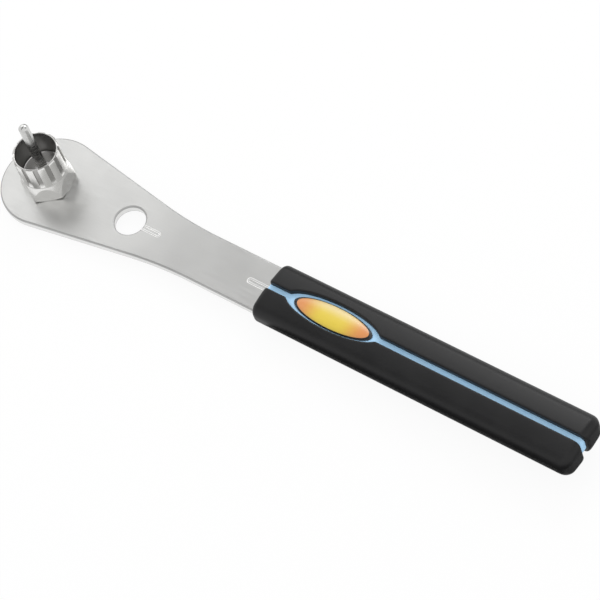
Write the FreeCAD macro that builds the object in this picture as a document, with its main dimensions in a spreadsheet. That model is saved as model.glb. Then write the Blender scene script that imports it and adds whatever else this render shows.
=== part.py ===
# Lockring tool: a flat steel lever with a splined socket at its head and a two-lobed moulded grip.
# The origin lies on the socket's axis, in the top face of the lever. +X runs along the lever to
# the grip and +Z points out of the socket's mouth. Lengths are in millimetres, angles in degrees.
import FreeCAD, Part
import math
import os
import re
import Sketcher

# Driving dimensions: name, value, what it measures
SIZES = [
    ("head_radius", 25.0, "round head of the lever"),
    ("plate_thickness", 4.0, "thickness of the lever"),
    ("flank_slope", 9.0, "slope of each tapering flank"),
    ("neck_radius", 220.0, "hollow curve from flank to shank"),
    ("shank_width", 26.0, "width of the parallel shank"),
    ("shank_inset", 2.0, "full-width shank inside the grip"),
    ("tang_width", 18.0, "width of the tang inside the grip"),
    ("tang_length", 155.0, "length of the tang inside the grip"),
    ("lever_edge", 0.3, "chamfer round the lever's faces"),
    ("hang_hole_x", 50.3, "hang hole from the socket's axis"),
    ("hang_hole_radius", 7.8, "radius of the hang hole"),
    ("mark_depth", 0.3, "depth of the engraved lines"),
    ("mark_width", 0.7, "width of one engraved line"),
    ("mark_pitch", 2.2, "distance between two engraved lines"),
    ("hole_mark_end", 69.2, "round end of the lines from the hang hole"),
    ("grip_mark_end", 121.4, "round end of the lines from the grip"),
    ("hex_flats", 24.0, "hexagon across its flats"),
    ("hex_foot_slope", 30.0, "chamfer under the hexagon's corners"),
    ("hex_cone_slope", 16.3, "half angle of the cone on the hexagon"),
    ("barrel_foot", 10.3, "height where the barrel leaves the cone"),
    ("socket_turn", 7.5, "first flat of the hexagon from the lever's axis"),
    ("barrel_radius", 11.7, "radius over the splines"),
    ("barrel_height", 25.0, "mouth of the socket above the lever"),
    ("mouth_chamfer", 0.6, "lead-in outside the mouth"),
    ("spline_count", 12.0, "number of grooves round the barrel"),
    ("spline_gap", 2.4, "width of one groove"),
    ("spline_depth", 0.75, "depth of one groove"),
    ("spline_foot", 10.8, "height where a groove has run out"),
    ("cutter_radius", 8.0, "radius of the grooves' run-out"),
    ("bore_radius", 10.2, "radius of the socket's bore"),
    ("bore_depth", 14.5, "depth of the bore from the mouth"),
    ("bore_edge", 0.3, "chamfer inside the mouth"),
    ("stem_radius", 8.0, "stem of the socket through the lever"),
    ("stem_flare", 0.8, "flare of the peened stem at the lever's back"),
    ("pin_radius", 2.5, "radius of the guide pin"),
    ("pin_tip", 46.0, "tip of the pin above the lever"),
    ("pin_dome", 3.0, "radius of the pin's domed tip"),
    ("spigot_radius", 2.0, "spigot of the pin, pressed into the socket's floor"),
    ("spigot_floor", 3.5, "steel left in the stem under the pin's spigot"),
    ("grip_front", 134.4, "front of the grip from the socket's axis"),
    ("grip_length", 176.6, "length of the lobes"),
    ("grip_width", 30.4, "width over both lobes"),
    ("grip_height", 15.6, "height over both crowns"),
    ("crown_radius", 60.0, "curve of the lobes' top across the grip"),
    ("side_radius", 6.0, "rounding along the lobes' sides"),
    ("front_round", 2.9, "rounding of the lobes' front"),
    ("tail_round", 5.6, "rounding of the lobes' tail"),
    ("groove_width", 4.0, "gap between the lobes"),
    ("gap_edge", 0.6, "edge break of the lobes at the gap"),
    ("groove_depth", 3.1, "core below the lobes' crown"),
    ("lobe_wall", 2.7, "lobes' wall outside the core"),
    ("core_edge", 4.4, "rounding along the core"),
    ("core_tail_edge", 1.6, "edge break of the core's tail"),
    ("core_tail_inset", 1.6, "core short of the lobes' tail"),
    ("badge_x", 172.4, "centre of the badge from the socket's axis"),
    ("window_length", 52.4, "oval window between the lobes"),
    ("window_width", 14.5, "width of the window"),
    ("window_corner", 1.5, "rounding where the window meets the gap"),
    ("backing_length", 44.2, "oval backing of the badge"),
    ("backing_width", 12.5, "width of the backing"),
    ("backing_thickness", 0.6, "thickness of the backing"),
    ("dome_length", 41.0, "oval dome of the badge"),
    ("dome_width", 11.9, "width of the dome"),
    ("dome_rim", 0.3, "upright rim of the dome"),
    ("dome_rise", 1.2, "rise of the dome above its rim"),
]
NAMES = {name for name, number, meaning in SIZES}
# Height of the core's top, where the badge sits
CORE_TOP = "grip_height / 2 - groove_depth - plate_thickness / 2"

doc = FreeCAD.newDocument("lockring_tool")
sheet = doc.addObject("Spreadsheet::Sheet", "sizes")
for row, (name, number, meaning) in enumerate(SIZES, start=1):
    sheet.set("A%d" % row, name)
    sheet.set("B%d" % row, str(number))
    sheet.set("C%d" % row, meaning)
    sheet.setAlias("B%d" % row, name)
doc.recompute()


def size(words):
    """Number that a sum of sheet names comes to."""
    return float(sheet.evalExpression(words))


def bind(thing, field, words):
    """Tie a field of an object to a sum of sheet names."""
    linked = re.sub(r"[a-z_]+", lambda word: "sizes." + word[0] if word[0] in NAMES else word[0], words)
    thing.setExpression(field, linked)


def point(x, y):
    return FreeCAD.Vector(x, y, 0)


def arc(centre, radius, start, end):
    """Arc drawn anticlockwise between two angles in radians."""
    circle = Part.Circle(centre, FreeCAD.Vector(0, 0, 1), radius)
    return Part.ArcOfCircle(circle, start, end)


def new_body(label, x="0", y="0", z="0", turn="0"):
    """Body that stands at a place of the tool's own frame, turned about +Z."""
    body = doc.addObject("PartDesign::Body", label)
    body.Label = label
    body.Placement = FreeCAD.Placement(FreeCAD.Vector(), FreeCAD.Rotation(FreeCAD.Vector(0, 0, 1), 1))
    bind(body, "Placement.Base.x", x)
    bind(body, "Placement.Base.y", y)
    bind(body, "Placement.Base.z", z)
    bind(body, "Placement.Rotation.Angle", turn)
    return body


def origin_part(body, role):
    """Axis or plane of a body's own origin."""
    return [part for part in body.Origin.OriginFeatures if part.Role == role][0]


def new_sketch(body, name, role, offset="0"):
    """Empty sketch on an origin plane, moved out along that plane's normal."""
    sketch = body.newObject("Sketcher::SketchObject", name)
    sketch.AttachmentSupport = [(origin_part(body, role), "")]
    sketch.MapMode = "FlatFace"
    bind(sketch, "AttachmentOffset.Base.z", offset)
    return sketch


def dimension(sketch, words, kind, *where):
    """Dimension of a sketch that the sheet drives."""
    number = sketch.addConstraint(Sketcher.Constraint(kind, *where, size(words)))
    bind(sketch, "Constraints[%d]" % number, words)


def slant(sketch, words, line):
    """Slope of a line against the sketch's X, in degrees."""
    number = sketch.addConstraint(Sketcher.Constraint("Angle", line, math.radians(size(words))))
    bind(sketch, "Constraints[%d]" % number, "(%s) * 1 deg" % words)


def hold(sketch, curve, end, x=None, y=None):
    """Hold an end or centre of a curve at its distances from the sketch's origin."""
    if x is not None:
        dimension(sketch, x, "DistanceX", -1, 1, curve, end)
    if y is not None:
        dimension(sketch, y, "DistanceY", -1, 1, curve, end)


def relate(sketch, kind, *where):
    sketch.addConstraint(Sketcher.Constraint(kind, *where))


def draw_polygon(sketch, corners):
    """Closed outline through corners whose places are sums of sheet names."""
    points = [point(size(x), size(y)) for x, y in corners]
    lines = sketch.addGeometry([Part.LineSegment(a, b) for a, b in zip(points, points[1:] + points[:1])])
    for line, following in zip(lines, lines[1:] + lines[:1]):
        relate(sketch, "Coincident", line, 2, following, 1)
    for line, (x, y) in zip(lines, corners):
        hold(sketch, line, 1, x, y)


def draw_circle(sketch, x, radius):
    circle = sketch.addGeometry(Part.Circle(point(size(x), 0), FreeCAD.Vector(0, 0, 1), size(radius)))
    hold(sketch, circle, 3, x, "0")
    dimension(sketch, radius, "Radius", circle)


def draw_oval(sketch, x, length, width):
    """Ellipse along the sketch's X, held by its own long and short axes."""
    oval = sketch.addGeometry(Part.Ellipse(point(size(x), 0), size(length) / 2, size(width) / 2))
    sketch.exposeInternalGeometry(oval)
    long_axis, short_axis = oval + 1, oval + 2
    hold(sketch, oval, 3, x, "0")
    relate(sketch, "Horizontal", long_axis)
    dimension(sketch, length, "Distance", long_axis)
    dimension(sketch, width, "Distance", short_axis)


def add(body, kind, name, **settings):
    """Feature of a body; a setting given as words is tied to the sheet."""
    feature = body.newObject("PartDesign::" + kind, name)
    for field, setting in settings.items():
        if isinstance(setting, str) and field in ("Length", "Radius", "Size", "Occurrences", "Angle"):
            bind(feature, field, setting)
        else:
            setattr(feature, field, setting)
    body.Tip = feature
    doc.recompute()
    return feature


def edges_where(feature, wanted):
    """Names of the edges of a feature's shape that a test picks."""
    edges = enumerate(feature.Shape.Edges, start=1)
    return ["Edge%d" % number for number, edge in edges if wanted(edge)]


def near(a, b):
    return abs(a - b) < 1e-4


def flat_at(edge, axis, place):
    """Whether an edge lies wholly at one place of an axis: 0 for X, 1 for Y, 2 for Z."""
    box = edge.BoundBox
    low = (box.XMin, box.YMin, box.ZMin)[axis]
    high = (box.XMax, box.YMax, box.ZMax)[axis]
    return near(low, place) and near(high, place)


def draw_half_lever(sketch):
    """One half of the lever's outline: round head, straight flank, hollow neck, shank and tang."""
    head, half, hollow = size("head_radius"), size("shank_width / 2"), size("neck_radius")
    slope = math.radians(size("flank_slope"))
    outward = point(math.sin(slope), math.cos(slope))
    neck = point((head + hollow - (half + hollow) * outward.y) / outward.x, half + hollow)
    shoulder, tang = size("grip_front + shank_inset"), size("tang_width / 2")
    tail = size("grip_front + tang_length")
    curves = sketch.addGeometry([
        arc(point(0, 0), head, math.pi / 2 - slope, math.pi),
        Part.LineSegment(outward * head, neck - outward * hollow),
        arc(neck, hollow, 1.5 * math.pi - slope, 1.5 * math.pi),
        Part.LineSegment(point(neck.x, half), point(shoulder, half)),
        Part.LineSegment(point(shoulder, half), point(shoulder, tang)),
        Part.LineSegment(point(shoulder, tang), point(tail, tang)),
        Part.LineSegment(point(tail, tang), point(tail, 0)),
        Part.LineSegment(point(tail, 0), point(-head, 0)),
    ])
    front, flank, hollow_curve, side, step, tang_side, tang_end, middle = curves
    hold(sketch, front, 3, "0", "0")
    dimension(sketch, "head_radius", "Radius", front)
    relate(sketch, "Tangent", flank, 1, front, 1)
    slant(sketch, "-flank_slope", flank)
    relate(sketch, "Tangent", flank, 2, hollow_curve, 1)
    dimension(sketch, "neck_radius", "Radius", hollow_curve)
    relate(sketch, "Tangent", side, 1, hollow_curve, 2)
    for curve, following in ((side, step), (step, tang_side), (tang_side, tang_end), (tang_end, middle)):
        relate(sketch, "Coincident", curve, 2, following, 1)
    relate(sketch, "Coincident", middle, 2, front, 2)
    hold(sketch, step, 1, "grip_front + shank_inset", "shank_width / 2")
    relate(sketch, "Horizontal", side)
    hold(sketch, tang_side, 1, "grip_front + shank_inset", "tang_width / 2")
    hold(sketch, tang_end, 1, "grip_front + tang_length", "tang_width / 2")
    hold(sketch, middle, 1, "grip_front + tang_length", "0")
    hold(sketch, middle, 2, y="0")


def draw_slot(sketch, start, end, width):
    """Slot with round ends along the sketch's X; start and end are the centres of its ends."""
    low, high, half = size(start), size(end), size(width) / 2
    first, last, top, bottom = sketch.addGeometry([
        arc(point(low, 0), half, math.pi / 2, 1.5 * math.pi),
        arc(point(high, 0), half, -math.pi / 2, math.pi / 2),
        Part.LineSegment(point(low, half), point(high, half)),
        Part.LineSegment(point(high, -half), point(low, -half)),
    ])
    relate(sketch, "Tangent", top, 1, first, 1)
    relate(sketch, "Tangent", top, 2, last, 2)
    relate(sketch, "Tangent", bottom, 1, last, 1)
    relate(sketch, "Tangent", bottom, 2, first, 2)
    relate(sketch, "Equal", first, last)
    hold(sketch, first, 3, start, "0")
    hold(sketch, last, 3, end, "0")
    dimension(sketch, "(%s) / 2" % width, "Radius", last)


def engrave(body, name, start, end):
    """Two parallel lines in the lever's top face, joined by half circles at both ends."""
    sketch = new_sketch(body, name + "_outline", "XY_Plane")
    draw_slot(sketch, start, end, "mark_pitch + mark_width")
    draw_slot(sketch, start, end, "mark_pitch - mark_width")
    return add(body, "Pocket", name, Profile=sketch, Length="mark_depth")


def is_rim(edge, x, radius, z=None):
    """Whether an edge is a level circle of this radius about a point of the X axis."""
    if not isinstance(edge.Curve, Part.Circle) or not near(edge.Curve.Radius, radius):
        return False
    centre = edge.Curve.Center
    level = near(edge.BoundBox.ZMin, edge.BoundBox.ZMax)
    return level and near(centre.x, x) and near(centre.y, 0) and (z is None or near(centre.z, z))


def make_lever():
    """Flat lever: outline, engraved lines, hang hole and the countersunk seat of the socket's stem."""
    body = new_body("lever_plate")
    outline = new_sketch(body, "half_outline", "XY_Plane")
    draw_half_lever(outline)
    half = add(body, "Pad", "half_lever", Profile=outline, Length="plate_thickness", Reversed=True)
    mirror_plane = (origin_part(body, "XZ_Plane"), [""])
    lever = add(body, "Mirrored", "lever", Originals=[half], MirrorPlane=mirror_plane)
    bottom, shoulder = -size("plate_thickness"), size("grip_front + shank_inset")

    def on_rim(edge):
        on_face = flat_at(edge, 2, 0) or flat_at(edge, 2, bottom)
        return on_face and edge.BoundBox.XMax < shoulder + 1e-4 and not flat_at(edge, 0, shoulder)

    rim = (lever, edges_where(lever, on_rim))
    add(body, "Chamfer", "rim_chamfer", Base=rim, Size="lever_edge")
    hole = new_sketch(body, "hang_hole_outline", "XY_Plane")
    draw_circle(hole, "hang_hole_x", "hang_hole_radius")
    drilled = add(body, "Pocket", "hang_hole", Profile=hole, Type="ThroughAll")
    radius = size("hang_hole_radius")
    hole_rims = edges_where(drilled, lambda edge: is_rim(edge, size("hang_hole_x"), radius))
    add(body, "Chamfer", "hang_hole_chamfer", Base=(drilled, hole_rims), Size="lever_edge")
    engrave(body, "hole_marks", "hang_hole_x", "hole_mark_end - mark_pitch / 2 - mark_width / 2")
    engrave(body, "grip_marks", "grip_mark_end + mark_pitch / 2 + mark_width / 2", "grip_front")
    seat = new_sketch(body, "stem_seat_outline", "XY_Plane")
    draw_circle(seat, "0", "stem_radius")
    bored = add(body, "Pocket", "stem_seat", Profile=seat, Type="ThroughAll")
    back_rim = edges_where(bored, lambda edge: is_rim(edge, 0, size("stem_radius"), bottom))
    add(body, "Chamfer", "stem_countersink", Base=(bored, back_rim), Size="stem_flare")
    return body


def make_socket():
    """Socket turned with its stem, then milled: six flats below the barrel, grooves round it."""
    body = new_body("splined_socket", turn="socket_turn")
    blank = new_sketch(body, "turned_profile", "XZ_Plane")
    corner = "hex_flats / 2 / cos(30deg)"
    draw_polygon(blank, [
        ("0", "-plate_thickness"),
        ("stem_radius + stem_flare", "-plate_thickness"),
        ("stem_radius", "stem_flare - plate_thickness"),
        ("stem_radius", "0"),
        ("hex_flats / 2", "0"),
        (corner, "(%s - hex_flats / 2) * tan(hex_foot_slope)" % corner),
        (corner, "barrel_foot - (%s - barrel_radius) / tan(hex_cone_slope)" % corner),
        ("barrel_radius", "barrel_foot"),
        ("barrel_radius", "barrel_height - mouth_chamfer"),
        ("barrel_radius - mouth_chamfer", "barrel_height"),
        ("bore_radius + bore_edge", "barrel_height"),
        ("bore_radius", "barrel_height - bore_edge"),
        ("bore_radius", "barrel_height - bore_depth"),
        ("spigot_radius", "barrel_height - bore_depth"),
        ("spigot_radius", "spigot_floor - plate_thickness"),
        ("0", "spigot_floor - plate_thickness"),
    ])
    axis = (origin_part(body, "Z_Axis"), [""])
    add(body, "Revolution", "turned_blank", Profile=blank, ReferenceAxis=axis, Angle=360)
    flat = new_sketch(body, "flat_outline", "XY_Plane")
    reach = "hex_flats / 2 / cos(30deg) + 1"
    draw_polygon(flat, [
        ("hex_flats / 2", "-hex_flats / 2"),
        (reach, "-hex_flats / 2"),
        (reach, "hex_flats / 2"),
        ("hex_flats / 2", "hex_flats / 2"),
    ])
    first_flat = add(body, "Pocket", "first_flat", Profile=flat, Length="barrel_foot", Reversed=True)
    add(body, "PolarPattern", "hexagon", Originals=[first_flat], Axis=axis, Angle=360, Occurrences=6)
    groove = new_sketch(body, "groove_profile", "XZ_Plane")
    draw_groove(groove)
    first_groove = add(body, "Pocket", "first_groove", Profile=groove, Length="spline_gap", Midplane=True)
    add(body, "PolarPattern", "splines", Originals=[first_groove], Axis=axis, Angle=360,
        Occurrences="spline_count")
    return body


def draw_groove(sketch):
    """Side view of one groove: straight floor, then the round of the cutter as it runs out."""
    floor, outside = size("barrel_radius - spline_depth"), size("barrel_radius + 1")
    cutter = size("cutter_radius")
    rise = math.sqrt(cutter ** 2 - (cutter - size("spline_depth")) ** 2)
    centre = point(floor + cutter, size("spline_foot") + rise)
    exit_angle = math.pi + math.acos((centre.x - outside) / cutter)
    exit_point = centre + point(math.cos(exit_angle), math.sin(exit_angle)) * cutter
    top = size("barrel_height + 1")
    run_out, side, mouth, bottom = sketch.addGeometry([
        arc(centre, cutter, math.pi, exit_angle),
        Part.LineSegment(exit_point, point(outside, top)),
        Part.LineSegment(point(outside, top), point(floor, top)),
        Part.LineSegment(point(floor, top), point(floor, centre.y)),
    ])
    relate(sketch, "Coincident", run_out, 2, side, 1)
    relate(sketch, "Coincident", side, 2, mouth, 1)
    relate(sketch, "Coincident", mouth, 2, bottom, 1)
    relate(sketch, "Tangent", bottom, 2, run_out, 1)
    relate(sketch, "Vertical", bottom)
    relate(sketch, "Vertical", side)
    dimension(sketch, "cutter_radius", "Radius", run_out)
    run_out_rise = "sqrt(cutter_radius ^ 2 - (cutter_radius - spline_depth) ^ 2)"
    hold(sketch, run_out, 3, y="spline_foot + " + run_out_rise)
    hold(sketch, mouth, 1, "barrel_radius + 1", "barrel_height + 1")
    hold(sketch, mouth, 2, "barrel_radius - spline_depth", "barrel_height + 1")


def draw_pin(sketch):
    """Half of the pin's section: spigot, shoulder on the socket's floor, shaft and domed tip."""
    spigot, shaft, dome = size("spigot_radius"), size("pin_radius"), size("pin_dome")
    spigot_foot = "spigot_floor - plate_thickness - barrel_height + bore_depth"
    foot, floor, tip = size(spigot_foot), 0, size("pin_tip - barrel_height + bore_depth")
    side_angle = math.acos(shaft / dome)
    shaft_top = tip - dome + dome * math.sin(side_angle)
    bottom, spigot_side, shoulder, side, tip_curve, middle = sketch.addGeometry([
        Part.LineSegment(point(0, foot), point(spigot, foot)),
        Part.LineSegment(point(spigot, foot), point(spigot, floor)),
        Part.LineSegment(point(spigot, floor), point(shaft, floor)),
        Part.LineSegment(point(shaft, floor), point(shaft, shaft_top)),
        arc(point(0, tip - dome), dome, side_angle, math.pi / 2),
        Part.LineSegment(point(0, tip), point(0, foot)),
    ])
    chain = (bottom, spigot_side, shoulder, side, tip_curve, middle, bottom)
    for curve, following in zip(chain, chain[1:]):
        relate(sketch, "Coincident", curve, 2, following, 1)
    hold(sketch, bottom, 1, "0", spigot_foot)
    hold(sketch, bottom, 2, "spigot_radius", spigot_foot)
    hold(sketch, shoulder, 1, "spigot_radius", "0")
    hold(sketch, shoulder, 2, "pin_radius", "0")
    relate(sketch, "Vertical", side)
    dimension(sketch, "pin_dome", "Radius", tip_curve)
    hold(sketch, tip_curve, 3, "0", "pin_tip - barrel_height + bore_depth - pin_dome")
    relate(sketch, "Vertical", middle)


def make_pin():
    """Guide pin that stands on the socket's floor, its spigot pressed into the hole there."""
    body = new_body("guide_pin", z="barrel_height - bore_depth")
    section = new_sketch(body, "pin_section", "XZ_Plane")
    draw_pin(section)
    axis = (origin_part(body, "Z_Axis"), [""])
    add(body, "Revolution", "turned_pin", Profile=section, ReferenceAxis=axis, Angle=360)
    return body


def grip_body(label):
    """Body whose own frame is at the grip's front, on the lever's middle plane."""
    return new_body(label, x="grip_front", z="-plate_thickness / 2")


def make_core_form():
    """Outer form of the core: a rounded bar between the lobes."""
    body = grip_body("core_form")
    half_width, half_height = "grip_width / 2 - lobe_wall", "grip_height / 2 - groove_depth"
    section = new_sketch(body, "core_section", "YZ_Plane")
    draw_polygon(section, [
        ("-(%s)" % half_width, "-(%s)" % half_height),
        (half_width, "-(%s)" % half_height),
        (half_width, half_height),
        ("-(%s)" % half_width, half_height),
    ])
    length = "grip_length - core_tail_inset"
    bar = add(body, "Pad", "core_bar", Profile=section, Length=length)
    long_edges = edges_where(bar, lambda edge: near(edge.Length, size(length)))
    bar = add(body, "Fillet", "core_sides", Base=(bar, long_edges), Radius="core_edge")
    tail = edges_where(bar, lambda edge: flat_at(edge, 0, size(length)))
    add(body, "Chamfer", "core_tail", Base=(bar, tail), Size="core_tail_edge")
    return body


def draw_lobe_quarter(sketch):
    """Upper half of the left lobe's section: gap wall, crowned top, round corner and side."""
    gap, side, top = size("groove_width / 2"), size("grip_width / 2"), size("grip_height / 2")
    crown, corner = size("crown_radius"), size("side_radius")
    crown_centre = point(0, top - crown)
    reach = math.sqrt((crown - corner) ** 2 - (side - corner) ** 2)
    corner_centre = point(side - corner, crown_centre.y + reach)
    meeting = math.atan2(reach, side - corner)
    gap_angle = math.acos(gap / crown)
    gap_top = point(gap, crown_centre.y + math.sqrt(crown ** 2 - gap ** 2))
    middle, flank, corner_curve, crown_curve, wall = sketch.addGeometry([
        Part.LineSegment(point(gap, 0), point(side, 0)),
        Part.LineSegment(point(side, 0), point(side, corner_centre.y)),
        arc(corner_centre, corner, 0, meeting),
        arc(crown_centre, crown, meeting, gap_angle),
        Part.LineSegment(gap_top, point(gap, 0)),
    ])
    relate(sketch, "Coincident", middle, 2, flank, 1)
    relate(sketch, "Tangent", flank, 2, corner_curve, 1)
    relate(sketch, "Tangent", corner_curve, 2, crown_curve, 1)
    relate(sketch, "Coincident", crown_curve, 2, wall, 1)
    relate(sketch, "Coincident", wall, 2, middle, 1)
    relate(sketch, "Vertical", flank)
    relate(sketch, "Vertical", wall)
    dimension(sketch, "side_radius", "Radius", corner_curve)
    dimension(sketch, "crown_radius", "Radius", crown_curve)
    hold(sketch, crown_curve, 3, "0", "grip_height / 2 - crown_radius")
    hold(sketch, middle, 1, "groove_width / 2", "0")
    hold(sketch, middle, 2, "grip_width / 2", "0")


def make_lobe_form():
    """Outer form of the left lobe, still solid, with its end rounds, window and gap edges."""
    body = grip_body("lobe_form")
    section = new_sketch(body, "lobe_section", "YZ_Plane")
    draw_lobe_quarter(section)
    half = add(body, "Pad", "lobe_half", Profile=section, Length="grip_length")
    middle = (origin_part(body, "XY_Plane"), [""])
    lobe = add(body, "Mirrored", "lobe_bar", Originals=[half], MirrorPlane=middle)
    gap, length = size("groove_width / 2"), size("grip_length")
    for name, end, radius in (("lobe_front", 0, "front_round"), ("lobe_tail", length, "tail_round")):
        end_edges = edges_where(lobe, lambda edge: flat_at(edge, 0, end) and not flat_at(edge, 1, gap))
        lobe = add(body, "Fillet", name, Base=(lobe, end_edges), Radius=radius)
    window = new_sketch(body, "window_outline", "XY_Plane", "grip_height / 2")
    draw_oval(window, "badge_x - grip_front", "window_length", "window_width")
    lobe = add(body, "Pocket", "window", Profile=window, Length="groove_depth")
    core_top = size("grip_height / 2 - groove_depth")

    def window_corner(edge):
        upright = flat_at(edge, 1, gap) and near(edge.BoundBox.XMin, edge.BoundBox.XMax)
        return upright and near(edge.BoundBox.ZMin, core_top)

    corners = edges_where(lobe, window_corner)
    lobe = add(body, "Fillet", "window_corners", Base=(lobe, corners), Radius="window_corner")
    def on_gap(edge):
        return flat_at(edge, 1, gap) and not near(edge.BoundBox.ZMin, core_top)

    add(body, "Chamfer", "gap_edges", Base=(lobe, edges_where(lobe, on_gap)), Size="gap_edge")
    return body


def make_moulded(name, form, inner):
    """Moulding that fills its form and leaves out what it was moulded round."""
    moulded = doc.addObject("Part::Cut", name)
    moulded.Label = name
    moulded.Base = form
    moulded.Tool = inner
    doc.recompute()
    return moulded


def make_grip(lever):
    """Core moulded round the lever's tang, and the two lobes moulded over both."""
    core_form = make_core_form()
    core = make_moulded("grip_core", core_form, lever)
    inner = doc.addObject("Part::Fuse", "lever_and_core")
    inner.Base = lever
    inner.Tool = core_form
    left = make_moulded("grip_lobe_left", make_lobe_form(), inner)
    right = doc.addObject("Part::Mirroring", "grip_lobe_right")
    right.Label = "grip_lobe_right"
    right.Source = left
    right.Normal = FreeCAD.Vector(0, 1, 0)
    doc.recompute()
    return core, left, right


def make_backing():
    """Oval backing of the badge, on the core's top."""
    body = new_body("badge_backing", x="badge_x", z=CORE_TOP)
    outline = new_sketch(body, "backing_outline", "XY_Plane")
    draw_oval(outline, "0", "backing_length", "backing_width")
    add(body, "Pad", "backing", Profile=outline, Length="backing_thickness")
    return body


def make_dome():
    """Clear-coated dome of the badge: an upright oval, crowned along its length and across."""
    oval = new_body("dome_oval", x="badge_x", z=CORE_TOP + " + backing_thickness")
    outline = new_sketch(oval, "dome_outline", "XY_Plane")
    draw_oval(outline, "0", "dome_length", "dome_width")
    add(oval, "Pad", "dome_prism", Profile=outline, Length="dome_rim + dome_rise")
    crowns = [make_crown("dome_length", 90), make_crown("dome_width", 0)]
    dome = doc.addObject("Part::MultiCommon", "badge_dome")
    dome.Label = "badge_dome"
    dome.Shapes = [oval] + crowns
    doc.recompute()
    return dome


def make_crown(chord, turn):
    """Level cylinder whose top rises over a chord of the badge by the dome's rise."""
    radius = "((%s / 2) ^ 2 + dome_rise ^ 2) / (2 * dome_rise)" % chord
    crown = doc.addObject("Part::Cylinder", chord + "_crown")
    along = FreeCAD.Rotation(FreeCAD.Vector(0, 1, 0), 90)
    crown.Placement.Rotation = FreeCAD.Rotation(FreeCAD.Vector(0, 0, 1), turn) * along
    bind(crown, "Radius", radius)
    bind(crown, "Height", "2 * dome_length")
    bind(crown, "Placement.Base.x", "badge_x - dome_length" if turn == 0 else "badge_x")
    bind(crown, "Placement.Base.y", "0" if turn == 0 else "-dome_length")
    bind(crown, "Placement.Base.z", CORE_TOP + " + backing_thickness + dome_rim + dome_rise - " + radius)
    return crown


def write_steps(pieces):
    """Write one file for each piece, once the whole document is sound."""
    for thing in doc.Objects:
        if "Invalid" in thing.State or "Error" in thing.State:
            raise RuntimeError("%s failed: %s" % (thing.Label, thing.State))
    for piece in pieces:
        if piece.Shape.isNull() or not piece.Shape.isValid() or len(piece.Shape.Solids) != 1:
            raise RuntimeError("%s is not one sound solid" % piece.Label)
    os.makedirs("parts", exist_ok=True)
    for piece in pieces:
        piece.Shape.exportStep("parts/%s.step" % piece.Label)
        print("%-16s %10.1f mm3" % (piece.Label, piece.Shape.Volume))


lever = make_lever()
socket = make_socket()
pin = make_pin()
core, left_lobe, right_lobe = make_grip(lever)
backing = make_backing()
dome = make_dome()
write_steps([lever, socket, pin, core, left_lobe, right_lobe, backing, dome])
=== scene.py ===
import math

import bmesh
import bpy
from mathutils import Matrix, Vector


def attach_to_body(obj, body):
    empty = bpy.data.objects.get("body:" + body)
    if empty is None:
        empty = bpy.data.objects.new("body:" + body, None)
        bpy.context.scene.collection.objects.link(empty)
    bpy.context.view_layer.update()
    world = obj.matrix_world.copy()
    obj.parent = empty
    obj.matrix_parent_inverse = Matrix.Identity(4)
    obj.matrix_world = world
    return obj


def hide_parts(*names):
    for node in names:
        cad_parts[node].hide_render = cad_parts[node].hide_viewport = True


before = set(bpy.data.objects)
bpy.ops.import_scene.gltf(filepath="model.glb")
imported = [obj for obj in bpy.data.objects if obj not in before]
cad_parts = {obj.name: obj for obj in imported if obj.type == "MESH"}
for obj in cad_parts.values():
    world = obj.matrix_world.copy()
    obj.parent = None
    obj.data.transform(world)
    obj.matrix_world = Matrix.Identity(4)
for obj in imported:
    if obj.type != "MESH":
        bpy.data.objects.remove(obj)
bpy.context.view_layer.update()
mm = 0.001
print("frame loaded:", len(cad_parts), "nodes")

# Camera where the photographer stood, then every piece round the frame

camera = {
    "place": (0.8802715, -0.5154931, 1.2817823),
    "turn": (32.768635, 12.773465, 35.676654),
    "lens": 202.93582,
    "sensor": 36.0,
    "nearest": 0.05,
    "farthest": 20,
}

cameraData = bpy.data.cameras.new("camera")
cameraData.lens = camera["lens"]
cameraData.sensor_width = camera["sensor"]
cameraData.clip_start = camera["nearest"]
cameraData.clip_end = camera["farthest"]
cameraObject = bpy.data.objects.new("camera", cameraData)
cameraObject.location = camera["place"]
cameraObject.rotation_euler = [math.radians(angle) for angle in camera["turn"]]
bpy.context.scene.collection.objects.link(cameraObject)
bpy.context.scene.camera = cameraObject
print("camera placed")


# Small tools for node trees

def addNode(tree, kind, inputs=None, **fields):
    made = tree.nodes.new(kind)
    for field, value in fields.items():
        setattr(made, field, value)
    for name, value in (inputs or {}).items():
        if isinstance(value, bpy.types.NodeSocket):
            tree.links.new(value, made.inputs[name])
        else:
            made.inputs[name].default_value = value
    return made


def maths(tree, operation, first, second=0.0):
    return addNode(tree, "ShaderNodeMath", {0: first, 1: second}, operation=operation).outputs[0]


def spread(tree, value, low, high, toLow, toHigh):
    inputs = {"Value": value, "From Min": low, "From Max": high, "To Min": toLow, "To Max": toHigh}
    made = addNode(tree, "ShaderNodeMapRange", inputs, interpolation_type="SMOOTHSTEP")
    return made.outputs["Result"]


def fromNoise(tree, value, low, high):
    # noise keeps mostly to 0.3 to 0.7, so that much of it fills the wanted range
    return spread(tree, value, 0.3, 0.7, low, high)


def blendColours(tree, share, first, second):
    # a mix node's colours are its inputs 6 and 7 and its output 2
    inputs = {0: share, 6: first, 7: second}
    return addNode(tree, "ShaderNodeMix", inputs, data_type="RGBA").outputs[2]


def scaled(tree, place, scale, location=(0, 0, 0)):
    inputs = {"Vector": place, "Scale": scale, "Location": location}
    return addNode(tree, "ShaderNodeMapping", inputs).outputs["Vector"]


def noise(tree, place, scale, detail=2.0, roughness=0.5):
    inputs = {"Vector": place, "Scale": scale, "Detail": detail, "Roughness": roughness}
    return addNode(tree, "ShaderNodeTexNoise", inputs).outputs[0]


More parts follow.
